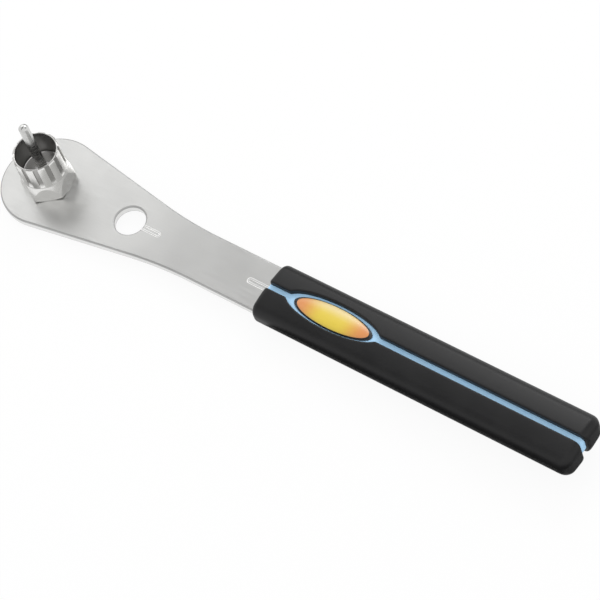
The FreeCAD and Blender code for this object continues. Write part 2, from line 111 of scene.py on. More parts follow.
def newFinish(name, **sockets):
    material = bpy.data.materials.new(name)
    material.use_nodes = True
    shader = material.node_tree.nodes["Principled BSDF"]
    for socketName, value in sockets.items():
        shader.inputs[socketName.replace("_", " ")].default_value = value
    place = addNode(material.node_tree, "ShaderNodeTexCoord").outputs["Object"]
    return material, material.node_tree, shader, place


def feed(tree, shader, **sources):
    for socketName, source in sources.items():
        tree.links.new(source, shader.inputs[socketName.replace("_", " ")])


def addBump(tree, shader, height, strength, distance):
    inputs = {"Height": height, "Strength": strength, "Distance": distance}
    feed(tree, shader, Normal=addNode(tree, "ShaderNodeBump", inputs).outputs["Normal"])


# Small tools for meshes

def newObject(name, mesh, material=None):
    made = bpy.data.objects.new(name, mesh)
    bpy.context.scene.collection.objects.link(made)
    if material is not None:
        mesh.materials.append(material)
    return made


def settled(piece, name, material, sharpAngle=30.0):
    # the evaluated shape as a plain mesh, with its edges above the angle kept sharp
    bpy.context.view_layer.update()
    evaluated = piece.evaluated_get(bpy.context.evaluated_depsgraph_get())
    shape = bpy.data.meshes.new_from_object(evaluated)
    bpy.data.objects.remove(piece)
    shape.name = name
    made = newObject(name, shape)
    shape.materials.clear()
    shape.materials.append(material)
    shape.shade_smooth()
    shape.set_sharp_from_angle(angle=math.radians(sharpAngle))
    return made


def carved(piece, cutters, name, material):
    # the piece less its cutters, which are used up
    for cutter in cutters:
        cut = piece.modifiers.new("cut", "BOOLEAN")
        cut.object = cutter
        cut.operation = "DIFFERENCE"
        cut.solver = "EXACT"
    made = settled(piece, name, material)
    for cutter in cutters:
        bpy.data.objects.remove(cutter)
    return made


def rowMesh(name, rows, wrap=True, caps=(False, False), same=1e-7, tiny=1e-8):
    # rows of points in millimetres, joined by quads; points that fall together are merged
    work = bmesh.new()
    grid = [[work.verts.new(Vector(point) * mm) for point in row] for row in rows]
    count = len(rows[0])
    columns = range(count if wrap else count - 1)
    for lower, upper in zip(grid, grid[1:]):
        for column in columns:
            following = (column + 1) % count
            work.faces.new((lower[column], lower[following], upper[following], upper[column]))
    if caps[0]:
        work.faces.new(list(reversed(grid[0])))
    if caps[1]:
        work.faces.new(grid[-1])
    bmesh.ops.remove_doubles(work, verts=work.verts, dist=same)
    bmesh.ops.dissolve_degenerate(work, edges=work.edges, dist=tiny)
    bmesh.ops.recalc_face_normals(work, faces=work.faces)
    mesh = bpy.data.meshes.new(name)
    work.to_mesh(mesh)
    work.free()
    return mesh


def keepFlat(mesh, levelNormal=0.9999):
    # edges where a level face meets any other stay sharp, so long flats shade evenly
    work = bmesh.new()
    work.from_mesh(mesh)
    for edge in work.edges:
        level = [abs(face.normal.z) > levelNormal for face in edge.link_faces]
        edge.smooth = edge.smooth and len(set(level)) < 2
    work.to_mesh(mesh)
    work.free()


def weighNormals(piece, weight=80):
    # large faces rule the shading of the small ones beside them
    weigh = piece.modifiers.new("flatFaces", "WEIGHTED_NORMAL")
    weigh.keep_sharp = True
    weigh.weight = weight


def steps(low, high, count):
    return [low + (high - low) * index / count for index in range(count + 1)]


def arcPoints(x, y, radius, start, end, count):
    # a whole arc, angles in degrees
    angles = [math.radians(angle) for angle in steps(start, end, count)]
    return [(x + radius * math.cos(angle), y + radius * math.sin(angle)) for angle in angles]


def bend(x, y, radius, start, end, count):
    # an arc that goes on from a point already set, angles in radians
    angles = steps(start, end, count)[1:]
    return [(x + radius * math.cos(angle), y + radius * math.sin(angle)) for angle in angles]


def wholeTurn(count):
    return [2 * math.pi * index / count for index in range(count)]


def attach(piece, body, slotName, *nodes):
    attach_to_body(piece, body)
    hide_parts(*nodes)


# Lever: flat plate with a round head, hollow neck, hang hole and engraved lines

lever = {
    "thickness": 4.0,
    "headRadius": 25.0,
    "headSteps": 60,
    "flankSlope": 9.0,
    "neckRadius": 220.0,
    "neckSteps": 36,
    "shankHalf": 13.0,
    "shoulder": 136.4,
    "tangHalf": 9.0,
    "tangEnd": 289.4,
    "edgeRound": 0.75,
    "holeX": 50.3,
    "holeRadius": 7.8,
    "holeSteps": 96,
    "stemRadius": 8.0,
    "markPitch": 2.2,
    "markRadius": 0.7,
    "markDepth": 0.3,
    "markSteps": 16,
    "markReach": 2.0,
    "holeMarkEnd": 69.2,
    "gripMarkEnd": 121.4,
    "gripFront": 134.4,
}


def leverHalf():
    slope = math.radians(lever["flankSlope"])
    head, hollow, half = lever["headRadius"], lever["neckRadius"], lever["shankHalf"]
    neckX = (head + hollow - (half + hollow) * math.cos(slope)) / math.sin(slope)
    points = arcPoints(0, 0, head, 180, 90 - lever["flankSlope"], lever["headSteps"])[1:]
    neckStart = 270 - lever["flankSlope"]
    points += arcPoints(neckX, half + hollow, hollow, neckStart, 270, lever["neckSteps"])
    points += [(lever["shoulder"], half), (lever["shoulder"], lever["tangHalf"])]
    points.append((lever["tangEnd"], lever["tangHalf"]))
    return points


def addLoop(curve, points):
    loop = curve.splines.new("POLY")
    loop.points.add(len(points) - 1)
    for target, (x, y) in zip(loop.points, points):
        target.co = (x * mm, y * mm, 0, 1)
    loop.use_cyclic_u = True


def leverBlank(material):
    # outline with its two holes, given its thickness and rounded edges
    curve = bpy.data.curves.new("leverOutline", "CURVE")
    curve.dimensions = "2D"
    curve.fill_mode = "BOTH"
    half = leverHalf()
    addLoop(curve, [(-lever["headRadius"], 0)] + half + [(x, -y) for x, y in reversed(half)])
    for x, radius in ((lever["holeX"], lever["holeRadius"]), (0, lever["stemRadius"])):
        addLoop(curve, arcPoints(x, 0, radius, 0, 360, lever["holeSteps"])[:-1])
    edge = lever["edgeRound"]
    curve.extrude = (lever["thickness"] / 2 - edge) * mm
    curve.bevel_depth = edge * mm
    curve.bevel_resolution = 2
    curve.offset = -edge * mm
    plate = settled(newObject("leverOutline", curve), "leverBlank", material)
    for corner in plate.data.vertices:
        corner.co.z -= lever["thickness"] / 2 * mm
    work = bmesh.new()
    work.from_mesh(plate.data)
    bmesh.ops.remove_doubles(work, verts=work.verts, dist=1e-6)
    bmesh.ops.recalc_face_normals(work, faces=work.faces)
    work.to_mesh(plate.data)
    work.free()
    return plate


def markCutter(start, end):
    # round-bottomed track round a slot, sunk to the mark's depth
    half, count = lever["markPitch"] / 2, lever["markSteps"]
    path = arcPoints(start, 0, half, 90, 270, count) + arcPoints(end, 0, half, -90, 90, count)
    height = lever["markRadius"] - lever["markDepth"]
    track = bpy.data.curves.new("markTrack", "CURVE")
    track.dimensions = "3D"
    addLoop(track, path)
    for target in track.splines[0].points:
        target.co.z = height * mm
    track.bevel_depth = lever["markRadius"] * mm
    track.bevel_resolution = 3
    return settled(newObject("markTrack", track), "markCutter", None)


def paintLever(plate, level=0.999, upright=0.1):
    # rounded edges take painted shade, upright walls painted light and engraved lines a finish of
    # their own, each a material after the plate's own
    edgeShadeIndex, wallLightIndex, markFinish = 1, 2, 3
    for face in plate.data.polygons:
        rim = math.hypot(face.center.x / mm - lever["holeX"], face.center.y / mm)
        onMark = face.center.x > lever["holeX"] * mm
        onMark = onMark and abs(face.center.y) < lever["markReach"] * mm
        onMark = onMark and rim > lever["holeRadius"] + lever["edgeRound"]
        if onMark and face.normal.z < level and face.center.z > -lever["edgeRound"] * mm:
            face.material_index = markFinish
        elif abs(face.normal.z) < upright:
            face.material_index = wallLightIndex
        elif abs(face.normal.z) < level:
            face.material_index = edgeShadeIndex


def makeLever(material, *rimMaterials):
    plate = leverBlank(material)
    farEnd = lever["holeMarkEnd"] - lever["markPitch"] / 2 - lever["markRadius"]
    nearEnd = lever["gripMarkEnd"] + lever["markPitch"] / 2 + lever["markRadius"]
    cutters = [markCutter(lever["holeX"], farEnd), markCutter(nearEnd, lever["gripFront"])]
    plate = carved(plate, cutters, "leverPlate", material)
    keepFlat(plate.data)
    for rimMaterial in rimMaterials:
        plate.data.materials.append(rimMaterial)
    paintLever(plate)
    return plate


# Socket: hexagon and splined barrel, one sixth drawn and set round the axis by nodes

socket = {
    "copies": 6,
    "turn": 7.5,
    "stemRadius": 8.0,
    "stemFlare": 0.8,
    "plate": 4.0,
    "flatHalf": 12.0,
    "cornerRound": 0.35,
    "footSlope": 30.0,
    "coneSlope": 16.3,
    "barrelFoot": 10.3,
    "barrelRadius": 11.7,
    "plainRise": 0.3,
    "height": 25.0,
    "mouthChamfer": 0.6,
    "grooveHalf": 1.2,
    "grooveDepth": 0.75,
    "grooveFoot": 10.8,
    "grooveSpots": (0, 0.5, 0.85),
    "grooveInner": 0.22,
    "grooveRim": 0.16,
    "cutterRadius": 8.0,
    "cutterCrowding": 1.3,
    "boreRadius": 10.3,
    "boreDepth": 14.5,
    "boreEdge": 0.3,
    "boreBend": 0.3,
    "boreHold": 3,
    "floorRound": 0.8,
    "floorRings": (7, 4.5),
    "spigotRadius": 2.0,
    "spigotFoot": -0.5,
    "edge": 0.12,
    "hold": 0.1,
}


def hexRadius(angle):
    # distance from the axis to the rounded hexagon, the angle taken from a flat's middle
    flat, corner = socket["flatHalf"], socket["cornerRound"]
    angle = abs(angle)
    centre = (flat - corner) / math.cos(math.radians(30))
    if flat * math.tan(angle) <= centre * math.sin(math.radians(30)):
        return flat / math.cos(angle)
    away = math.radians(30) - angle
    return centre * math.cos(away) + math.sqrt(corner ** 2 - (centre * math.sin(away)) ** 2)


def grooveModule(outer, floor):
    # from a groove's middle to the middle of the ridge beside it, as distances and angles
    half = socket["grooveHalf"]
    top = math.sqrt(outer ** 2 - half ** 2)
    depth = max(0.0, top - floor)
    inner, rim = min(socket["grooveInner"], depth / 2), min(socket["grooveRim"], depth / 2)
    points = [(min(floor, math.sqrt(outer ** 2 - y ** 2)), y) for y in socket["grooveSpots"]]
    low = min(floor, top)
    for angle in (0, 45, 90):
        turn = math.radians(angle)
        y = half - inner * (1 - math.sin(turn))
        points.append((low + inner * (1 - math.cos(turn)), y))
    for angle in (0, 30, 60, 90):
        turn = math.radians(angle)
        y = half + rim * (1 - math.cos(turn))
        points.append((min(top - rim * (1 - math.sin(turn)), math.sqrt(outer ** 2 - y ** 2)), y))
    polar = [(math.hypot(x, y), math.atan2(y, x)) for x, y in points]
    last = polar[-1][1]
    ridge = steps(last, math.radians(15), 7)[1:]
    return polar + [(outer, angle) for angle in ridge]


def sectorRow(outer, floor, z):
    # a row over one sixth: groove, ridge, groove, ridge, groove
    module = grooveModule(outer, floor)
    full = module + [(r, math.radians(30) - angle) for r, angle in reversed(module[:-1])]
    row = [(r, angle - math.radians(30)) for r, angle in full]
    row += [(r, angle) for r, angle in full[1:]]
    return [(r * math.cos(angle), r * math.sin(angle), z) for r, angle in row]


def evenRow(count, radius, z):
    angles = [math.radians(angle) for angle in steps(-30, 30, count)]
    return [(radius * math.cos(angle), radius * math.sin(angle), z) for angle in angles]


def hexRow(count, inset, heightAt):
    row = []
    for angle in [math.radians(angle) for angle in steps(-30, 30, count)]:
        reach = hexRadius(angle)
        radius = reach - inset
        row.append((radius * math.cos(angle), radius * math.sin(angle), heightAt(reach)))
    return row


def hexRows(count):
    # flared stem, then the hexagon from its chamfered foot to the cone under the barrel
    s = socket
    stem, flare, barrel = s["stemRadius"], s["stemFlare"], s["barrelRadius"]
    hold, edge = s["hold"], s["edge"]
    cone = math.tan(math.radians(s["coneSlope"]))
    foot = math.tan(math.radians(s["footSlope"]))

    def coneHeight(reach):
        return s["barrelFoot"] - (reach - barrel) / cone

    def footHeight(reach):
        return (reach - s["flatHalf"]) * foot

    rows = [evenRow(count, radius, -s["plate"]) for radius in (0, stem / 2, stem + flare - hold)]
    return rows + [
        evenRow(count, stem + flare, hold - s["plate"]),
        evenRow(count, stem, flare - s["plate"]),
        evenRow(count, stem, 0),
        evenRow(count, s["flatHalf"] - hold, 0),
        hexRow(count, edge / 2, lambda reach: max(0, footHeight(reach) - edge / 4)),
        hexRow(count, 0, lambda reach: footHeight(reach) + edge),
        hexRow(count, 0, lambda reach: footHeight(reach) + 4 * edge),
        hexRow(count, 0, lambda reach: coneHeight(reach) - 4 * edge),
        hexRow(count, 0, lambda reach: coneHeight(reach) - edge),
        hexRow(count, edge * cone, lambda reach: coneHeight(reach - edge * cone)),
        evenRow(count, barrel + hold, coneHeight(barrel + hold)),
        evenRow(count, barrel, s["barrelFoot"] + hold),
    ]


def barrelRows(floor):
    # grooves that run out at the foot on the cutter's radius, and a chamfer at the mouth
    s = socket
    barrel, hold, cutter, foot = s["barrelRadius"], s["hold"], s["cutterRadius"], s["grooveFoot"]
    rise = math.sqrt(cutter ** 2 - (cutter - s["grooveDepth"]) ** 2)
    centre = foot + rise
    plain = 2 * barrel
    rows = [sectorRow(barrel, plain, s["barrelFoot"] + s["plainRise"])]
    for share in steps(0, 1, 14):
        z = foot + rise * share ** s["cutterCrowding"]
        reach = floor + cutter - math.sqrt(cutter ** 2 - (centre - z) ** 2)
        rows.append(sectorRow(barrel, reach, z))
    chamfer, top = s["mouthChamfer"], s["height"]
    for z in steps(centre, top - chamfer - hold, 4)[1:]:
        rows.append(sectorRow(barrel, floor, z))
    rows.append(sectorRow(barrel - hold, floor, top - chamfer + hold))
    rows.append(sectorRow(barrel - chamfer + hold, floor - hold / 2, top - hold))
    rows.append(sectorRow(barrel - chamfer - hold / 2, floor - hold, top))
    return rows


def boreRows(count):
    # down the bore from its lip, over its floor and into the hole for the pin
    s = socket
    bore, lip, top, fillet = s["boreRadius"], s["boreEdge"], s["height"], s["floorRound"]
    rows = [
        evenRow(count, bore + lip, top),
        evenRow(count, bore + lip * s["boreBend"], top - lip * s["boreBend"]),
        evenRow(count, bore, top - lip),
        evenRow(count, bore, top - s["boreHold"]),
    ]
    bottom = top - s["boreDepth"]
    for angle in (0, 30, 60, 90):
        turn = math.radians(angle)
        radius = bore - fillet * (1 - math.cos(turn))
        rows.append(evenRow(count, radius, bottom + fillet * (1 - math.sin(turn))))
    rows += [evenRow(count, radius, bottom) for radius in (*s["floorRings"], s["spigotRadius"])]
    rows += [evenRow(count, radius, s["spigotFoot"]) for radius in (s["spigotRadius"], 0)]
    return rows


def socketSector():
    outer = socket["barrelRadius"]
    floor = outer - socket["grooveDepth"]
    count = len(sectorRow(outer, floor, 0)) - 1
    rows = hexRows(count) + barrelRows(floor) + boreRows(count)
    return rowMesh("socketSector", rows, wrap=False)


def roundTheAxis(material):
    # node group that sets copies of its shape round the upright axis and joins them
    tree = bpy.data.node_groups.new("roundTheAxis", "GeometryNodeTree")
    tree.interface.new_socket("Geometry", in_out="INPUT", socket_type="NodeSocketGeometry")
    for name, kind in (("Copies", "Int"), ("First Turn", "Float"), ("Seam", "Float")):
        tree.interface.new_socket(name, in_out="INPUT", socket_type="NodeSocket" + kind)
    tree.interface.new_socket("Geometry", in_out="OUTPUT", socket_type="NodeSocketGeometry")
    given = addNode(tree, "NodeGroupInput").outputs
    points = addNode(tree, "GeometryNodePoints", {"Count": given["Copies"]})
    index = addNode(tree, "GeometryNodeInputIndex").outputs[0]
    step = maths(tree, "DIVIDE", 2 * math.pi, given["Copies"])
    angle = maths(tree, "ADD", maths(tree, "MULTIPLY", index, step), given["First Turn"])
    turn = addNode(tree, "ShaderNodeCombineXYZ", {"Z": angle}).outputs[0]
    rotation = addNode(tree, "FunctionNodeEulerToRotation", {"Euler": turn}).outputs[0]
    inputs = {"Points": points.outputs[0], "Instance": given["Geometry"], "Rotation": rotation}
    copies = addNode(tree, "GeometryNodeInstanceOnPoints", inputs)
    real = addNode(tree, "GeometryNodeRealizeInstances", {"Geometry": copies.outputs[0]})
    inputs = {"Geometry": real.outputs[0], "Distance": given["Seam"]}
    merged = addNode(tree, "GeometryNodeMergeByDistance", inputs)
    inputs = {"Geometry": merged.outputs[0], "Material": material}
    painted = addNode(tree, "GeometryNodeSetMaterial", inputs)
    addNode(tree, "NodeGroupOutput", {"Geometry": painted.outputs[0]})
    return tree


def setInputs(modifier, values):
    for item in modifier.node_group.interface.items_tree:
        if item.in_out == "INPUT" and item.name in values:
            modifier[item.identifier] = values[item.name]


def makeSocket(material):
    sector = newObject("socketSector", socketSector())
    ring = sector.modifiers.new("roundTheAxis", "NODES")
    ring.node_group = roundTheAxis(material)
    firstTurn = math.radians(socket["turn"])
    setInputs(ring, {"Copies": socket["copies"], "First Turn": firstTurn, "Seam": 1e-6})
    whole = settled(sector, "splinedSocket", material)
    weighNormals(whole)
    return settled(whole, "splinedSocket", material, 32)


# Guide pin: ground shaft with a domed tip and a soft edge round it

pin = {
    "radius": 2.5,
    "foot": 10.5,
    "footHold": 0.3,
    "tip": 46.0,
    "dome": 2.75,
    "tipEdge": 1.2,
    "spigotRadius": 2.0,
    "spigotFoot": -0.5,
    "segments": 72,
}


def turnedRows(profile, segments):
    angles = wholeTurn(segments)
    return [[(r * math.cos(angle), r * math.sin(angle), z) for angle in angles] for r, z in profile]


def makePin(material):
    p = pin
    profile = [(0, p["spigotFoot"]), (p["spigotRadius"], p["spigotFoot"])]
    profile += [(p["spigotRadius"], p["foot"]), (p["radius"], p["foot"])]
    edge, dome = p["tipEdge"], p["dome"]
    centreZ = p["tip"] - dome
    # the edge round touches the shaft and the inside of the dome
    edgeX = p["radius"] - edge
    edgeZ = centreZ + math.sqrt((dome - edge) ** 2 - edgeX ** 2)
    meeting = math.atan2(edgeZ - centreZ, edgeX)
    profile += [(p["radius"], z) for z in steps(p["foot"] + p["footHold"], edgeZ, 6)]
    profile += bend(edgeX, edgeZ, edge, 0, meeting, 6)
    profile += bend(0, centreZ, dome, meeting, math.pi / 2, 10)
    shaft = newObject("guidePin", rowMesh("guidePin", turnedRows(profile, p["segments"])))
    return settled(shaft, "guidePin", material)


# Grip: core bar round the tang, two soft lobes over it, an oval window for the badge

grip = {
    "front": 134.4,
    "length": 176.6,
    "middle": -2.0,
    "half": 15.2,
    "high": 7.8,
    "crown": 60.0,
    "corner": 6.0,
    "gapHalf": 1.72,
    "gapRound": 0.7,
    "gapRoundGrowth": 0.3,
    "gapRoundShare": 0.3,
    "frontRound": 2.4,
    "tailRound": 5.6,
    "tailDrop": 4.2,
    "innerFront": 1.0,
    "innerTail": 2.0,
    "coreHalf": 12.5,
    "coreHigh": 4.7,
    "coreRound": 4.4,
    "coreRoundLeast": 0.3,
    "coreInset": 1.6,
    "coreEndGap": 0.05,
    "coreFront": 1.1,
    "coreTail": 2.6,
    "wallShare": 0.6,
    "windowX": 172.4,
    "windowLong": 26.2,
    "windowWide": 7.25,
    "windowBlend": 0.9,
    "windowFall": 8,
    "windowMargin": 2,
}


def endInset(distance, radius):
    # how far a rounded end pulls the outline in, this far from the end
    if distance >= radius:
        return 0.0
    return radius - math.sqrt(max(0.0, radius ** 2 - (radius - distance) ** 2))


def gapEdge(x, withWindow):
    # half width of the gap between the lobes: straight, wider at both ends and round the badge
    g = grip
    wall = g["gapHalf"] + endInset(x - g["front"], g["innerFront"])
    wall += endInset(g["front"] + g["length"] - x, g["innerTail"])
    if not withWindow:
        return wall
    along = (x - g["windowX"]) / g["windowLong"]
    if abs(along) < 1:
        oval = g["windowWide"] * math.sqrt(1 - along ** 2)
    else:
        oval = -g["windowWide"] * (abs(along) - 1) * g["windowFall"]
    blend = g["windowBlend"]
    near = max(0.0, blend - abs(wall - oval)) / blend
    return max(wall, oval) + near ** 2 * blend / 4


def lobeUpper(wall, inset, drop, lowEnd):
    # upper half of a lobe's section from the foot of its wall to the middle of its side
    g = grip
    high, half = g["high"] - drop, g["half"] - inset
    crown, corner = g["crown"] - drop, g["corner"] - inset
    crownZ = high - crown
    reach = math.sqrt((crown - corner) ** 2 - (half - corner) ** 2)
    cornerY, cornerZ = half - corner, crownZ + reach
    meeting = math.atan2(reach, half - corner)
    edge = min(g["gapRound"] + g["gapRoundGrowth"] * inset, (half - wall) * g["gapRoundShare"])
    edgeY = wall + edge
    edgeZ = crownZ + math.sqrt((crown - edge) ** 2 - edgeY ** 2)
    lean = math.atan2(edgeZ - crownZ, edgeY)
    points = [(wall, z) for z in steps(lowEnd, edgeZ, 5)]
    points += bend(edgeY, edgeZ, edge, math.pi, lean, 6)
    if lean > meeting:
        points += bend(0, crownZ, crown, lean, meeting, 12)
    points += bend(cornerY, cornerZ, corner, meeting, 0, 14)
    points += [(half, z) for z in steps(cornerZ, 0, 3)[1:]]
    return points


def corePath(wall, inset):
    # upper half of the core's outline, from the gap's wall to the middle of the core's side
    g = grip
    half, high = g["coreHalf"] - inset, g["coreHigh"] - inset
    corner = max(g["coreRoundLeast"], g["coreRound"] - inset)
    points = [(y, high) for y in steps(wall, max(wall, half - corner), 4)]
    points += [
        (half - corner + corner * math.sin(a), high - corner + corner * math.cos(a))
        for a in steps(0, math.pi / 2, 8)[1:]
    ]
    points.append((half, 0))
    return points


def lobeRow(x, outerInset, outerDrop, innerInset, side):
    # closed loop of one slice; past the core the inside falls together on the gap's wall
    g = grip
    upperWall, lowerWall = gapEdge(x, True), gapEdge(x, False)
    solid = innerInset is None
    lowEnd = g["coreHigh"] - (0 if solid else innerInset)
    lowEnd = min(lowEnd, (g["high"] - outerDrop) * g["wallShare"])
    upper = lobeUpper(upperWall, outerInset, outerDrop, lowEnd)
    lower = [(y, -z) for y, z in lobeUpper(lowerWall, outerInset, outerDrop, lowEnd)]
    loop = upper + list(reversed(lower))[1:]
    inside = corePath(lowerWall, 0 if solid else innerInset)
    if solid:
        levels = steps(-lowEnd, lowEnd, 2 * len(inside) - 2)
        loop += [(lowerWall, z) for z in levels[1:-1]]
    else:
        insideUpper = corePath(upperWall, innerInset)
        loop += [(y, -z) for y, z in inside][1:] + list(reversed(insideUpper))[1:-1]
    return [(x, side * y, g["middle"] + z) for y, z in loop]


def endRound(end, radius, count, direction):
    # places along the grip that crowd together at a rounded end
    angles = steps(0, math.pi / 2, count)
    if direction > 0:
        return [end + radius * (1 - math.cos(angle)) for angle in angles]
    return [end - radius * (1 - math.sin(angle)) for angle in angles[1:]]


def lobeStations():
    # places along the grip, close together in the end rounds and where the window opens
    g = grip
    tail = g["front"] + g["length"]
    places = endRound(g["front"], g["frontRound"], 9, 1)
    opening = g["windowLong"] * math.sqrt(1 - (g["gapHalf"] / g["windowWide"]) ** 2)
    first, last, margin = g["windowX"] - opening, g["windowX"] + opening, g["windowMargin"]
    spans = (
        (places[-1], first - margin, 6),
        (first - margin, first + margin, 20),
        (first + margin, last - margin, 44),
        (last - margin, last + margin, 20),
        (last + margin, tail - g["tailRound"], 24),
    )
    for start, end, count in spans:
        places += steps(start, end, count)[1:]
    return places + endRound(tail, g["tailRound"], 14, -1)


def makeLobe(name, side, material):
    g = grip
    tail = g["front"] + g["length"]
    coreEnd = tail - g["coreInset"]
    rows = []
    ended = False
    for x in lobeStations():
        if abs(x - coreEnd) <= g["coreEndGap"]:
            continue
        front = endInset(x - g["front"], g["frontRound"])
        outer = front + endInset(tail - x, g["tailRound"])
        drop = front + endInset(tail - x, g["tailDrop"])
        if x > coreEnd and not ended:
            edgeInset = endInset(g["coreInset"], g["tailRound"])
            edgeDrop = endInset(g["coreInset"], g["tailDrop"])
            for inner in (g["coreInset"], None):
                rows.append(lobeRow(coreEnd, edgeInset, edgeDrop, inner, side))
            ended = True
        inner = None if ended else max(0.0, g["coreInset"] - (coreEnd - x))
        rows.append(lobeRow(x, outer, drop, inner, side))
    mesh = rowMesh(name, rows, caps=(True, True))
    return settled(newObject(name, mesh), name, material, 40)


def makeCore(material):
    g = grip
    tail = g["front"] + g["length"] - g["coreInset"]
    places = endRound(g["front"], g["coreFront"], 6, 1)
    places += steps(places[-1], tail - g["coreTail"], 4)[1:]
    places += endRound(tail, g["coreTail"], 8, -1)
    rows = []
    for x in places:
        inset = endInset(x - g["front"], g["coreFront"]) + endInset(tail - x, g["coreTail"])
        quarter = corePath(0, inset)
        half = quarter + [(y, -z) for y, z in reversed(quarter)][1:]
        loop = half + [(-y, z) for y, z in reversed(half)][1:-1]
        rows.append([(x, y, g["middle"] + z) for y, z in loop])
    bar = newObject("gripCore", rowMesh("gripCore", rows, caps=(True, True)))
    # the shank's end and the tang are cut out, from just before the core's front
    start, bottom = g["front"] - 1, -lever["thickness"]
    cutters = []
    for end, half in (
            (lever["shoulder"], lever["shankHalf"]), (lever["tangEnd"], lever["tangHalf"])):
        loop = ((-half, bottom), (half, bottom), (half, 0), (-half, 0))
        block = [[(x, y, z) for y, z in loop] for x in (start, end)]
        cutters.append(newObject("tangSpace", rowMesh("tangSpace", block, caps=(True, True))))
    bar = carved(bar, cutters, "gripCore", material)
    weighNormals(bar)
    return settled(bar, "gripCore", material)


# Badge: black oval backing with a resin dome, left without lettering

badge = {
    "x": 172.4,
    "bottom": 2.7,
    "backingLong": 22.1,
    "backingWide": 6.25,
    "backingThick": 0.6,
    "backingRound": 0.2,
    "domeLong": 20.5,
    "domeWide": 5.95,
    "domeRim": 0.3,
    "domeRise": 1.2,
    "domeFullness": 2.4,
    "domeFlattening": 0.8,
    "domeShrink": 0.995,
    "capInset": 0.9,
    "border": 0.22,
    "segments": 96,
    "orange": (0.66, 0.25, 0.07, 1),
    "yellow": (0.70, 0.53, 0.055, 1),
    # painted highlight
    "paleHighlight": (0.74, 0.60, 0.34, 1),
    "black": (0.012, 0.013, 0.016, 1),
}


def ovalRow(insetShare, long, wide, z):
    shrink = wide * insetShare
    long, wide = long - shrink, wide - shrink
    angles = wholeTurn(badge["segments"])
    return [(badge["x"] + long * math.cos(a), wide * math.sin(a), z) for a in angles]


def makeBacking(material):
    b = badge
    long, wide, soft = b["backingLong"], b["backingWide"], b["backingRound"]
    low, high = b["bottom"], b["bottom"] + b["backingThick"]
    rows = [ovalRow(share, long, wide, low) for share in (b["capInset"], 0.0)]
    for angle in steps(0, math.pi / 2, 4):
        inset = soft * (1 - math.cos(angle)) / wide
        rows.append(ovalRow(inset, long, wide, high - soft + soft * math.sin(angle)))
    rows.append(ovalRow(b["capInset"], long, wide, high))
    plate = newObject("badgeBacking", rowMesh("badgeBacking", rows, caps=(True, True)))
    return settled(plate, "badgeBacking", material)


def makeDome(material):
    b = badge
    long, wide, low = b["domeLong"], b["domeWide"], b["bottom"] + b["backingThick"]
    rim = low + b["domeRim"]
    rows = [ovalRow(share, long, wide, low) for share in (b["capInset"], 0.0)]
    rows.append(ovalRow(0.0, long, wide, rim))
    for share in steps(0, 1, 24)[1:]:
        rise = b["domeRise"] * (1 - (1 - share) ** b["domeFullness"]) ** b["domeFlattening"]
        scale = 1 - share * b["domeShrink"]
        rows.append(ovalRow(0.0, long * scale, wide * scale, rim + rise))
    dome = newObject("badgeDome", rowMesh("badgeDome", rows, caps=(True, True)))
    return settled(dome, "badgeDome", material)


# Finishes, some with painted light and shade in them: tones run from dark to light and roughness
# over a range, both by fine noise

looks = {
    "satinSteel": {
        "dark": (0.51, 0.51, 0.502, 1), "light": (0.56, 0.56, 0.55, 1), "rough": (0.3, 0.44)},
    # painted shade: a darker copy of the satin steel, for the lever's rounded edges
    "edgeShadedSteel": {
        "dark": (0.41, 0.41, 0.405, 1), "light": (0.46, 0.46, 0.455, 1), "rough": (0.42, 0.55)},
    # painted light: a lighter copy of the satin steel, for the lever's upright walls
    "wallLitSteel": {
        "dark": (0.74, 0.74, 0.73, 1), "light": (0.80, 0.80, 0.79, 1), "rough": (0.3, 0.44)},
    "markSteel": {
        "dark": (0.93, 0.93, 0.92, 1), "light": (0.97, 0.97, 0.96, 1), "rough": (0.5, 0.62)},
    "groundSteel": {
        "dark": (0.58, 0.58, 0.57, 1), "light": (0.66, 0.66, 0.65, 1), "rough": (0.16, 0.3)},
    "blueMoulding": {
        "dark": (0.42, 0.71, 1.0, 1), "light": (0.46, 0.74, 1.0, 1), "rough": (0.36, 0.5)},
    "softRubber": {
        "dark": (0.004, 0.004, 0.0045, 1), "light": (0.006, 0.006, 0.0065, 1),
        "rough": (0.4, 0.44)},
}

plating = {
    "ridge": (0.82, 0.815, 0.80, 1),
    # painted shade in the grooves
    "groove": (0.42, 0.415, 0.405, 1),
    # painted shade on the bore's wall
    "bore": (0.27, 0.265, 0.26, 1),
    "rough": (0.17, 0.27),
    "boreRougher": 0.22,
    "wallMargin": 0.12,
    "floorMargin": 0.1,
    "ridgeMargin": 0.15,
}


def setLook(tree, shader, name, cloud, polish):
    look = looks[name]
    tone = blendColours(tree, fromNoise(tree, cloud, 0.0, 1.0), look["dark"], look["light"])
    feed(tree, shader, Base_Color=tone, Roughness=fromNoise(tree, polish, *look["rough"]))


def satinSteel(name):
    # brushed along the lever, with a finer grain over the lines
    material, tree, shader, place = newFinish(name, Metallic=1.0)
    lines = noise(tree, scaled(tree, place, (60, 1500, 1500)), 1.0, detail=3.0, roughness=0.6)
    grain = maths(tree, "MULTIPLY", noise(tree, place, 900.0), 0.4)
    mix = maths(tree, "ADD", maths(tree, "MULTIPLY", lines, 0.6), grain)
    setLook(tree, shader, name, noise(tree, place, 28.0), mix)
    addBump(tree, shader, mix, strength=0.25, distance=0.00003)
    return material


